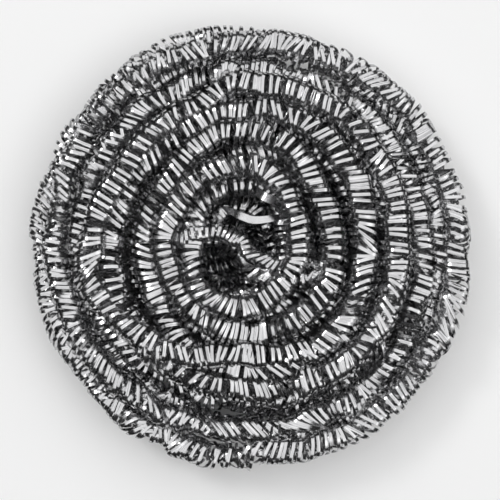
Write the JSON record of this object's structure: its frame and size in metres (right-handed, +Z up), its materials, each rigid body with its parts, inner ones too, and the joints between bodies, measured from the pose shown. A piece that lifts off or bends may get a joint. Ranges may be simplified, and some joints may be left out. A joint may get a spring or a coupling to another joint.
{
  "type": "pot scrubber",
  "caption": "Round stainless steel pot scrubber: a springy flat nest of curled wire strands wound in spiral layers, with a shallow recess in the middle.",
  "frame": {"origin": "centre of the nest's box on the surface that it rests on", "axes": "+Z up through the nest's flat thickness, -Y towards the place where the rim turns end"},
  "size_m": [0.084, 0.0841, 0.0192],
  "materials": {
    "steel_wire": "bright rolled stainless steel wire, curled"
  },
  "bodies": {
    "root": {"lower_strand": "steel_wire", "upper_strand": "steel_wire", "heart_strand": "steel_wire"}
  },
  "joints": []
}
